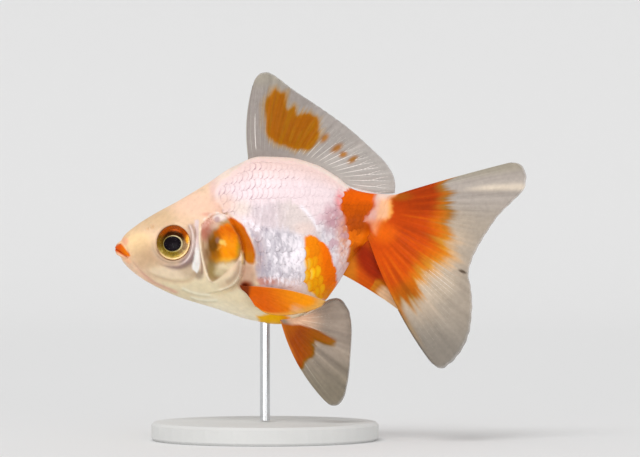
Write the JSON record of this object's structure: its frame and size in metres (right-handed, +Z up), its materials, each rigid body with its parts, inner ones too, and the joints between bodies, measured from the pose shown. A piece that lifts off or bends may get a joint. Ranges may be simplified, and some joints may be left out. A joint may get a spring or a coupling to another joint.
{
  "type": "fantail goldfish model",
  "caption": "Life-size red and white fantail goldfish as a still model, with spread fins, held level as if swimming by a rod on a round base.",
  "frame": {"origin": "on the floor, under the middle of the whole part's bounding box", "axes": "-X is where the fish faces, -Y is its left side, +Z is up"},
  "size_m": [0.0902, 0.05, 0.0808],
  "materials": {
    "skin": "moist scaled skin, pinkish white with orange patches",
    "gill_cover": "moist smooth plate, cream with an orange patch",
    "eye": "wet, with a black pupil and a gold-brown iris",
    "clear_fin": "translucent grey web over pale rays",
    "orange_fin": "orange web over rays, clear towards its margin",
    "stand_rod": "fine brushed",
    "stand_base": "matt grey paint"
  },
  "bodies": {
    "root": {"head": "skin", "trunk": "skin", "tail_stem": "skin", "gill_cover_left": "gill_cover", "gill_cover_right": "gill_cover", "eye_left": "eye", "eye_right": "eye", "dorsal_fin": "clear_fin", "pelvic_fin_left": "clear_fin", "pelvic_fin_right": "clear_fin", "pectoral_fin_left": "orange_fin", "pectoral_fin_right": "orange_fin", "anal_fin_left": "orange_fin", "anal_fin_right": "orange_fin", "tail_fin_left": "orange_fin", "tail_fin_right": "orange_fin", "stand_rod": "stand_rod", "stand_base": "stand_base"}
  },
  "joints": []
}
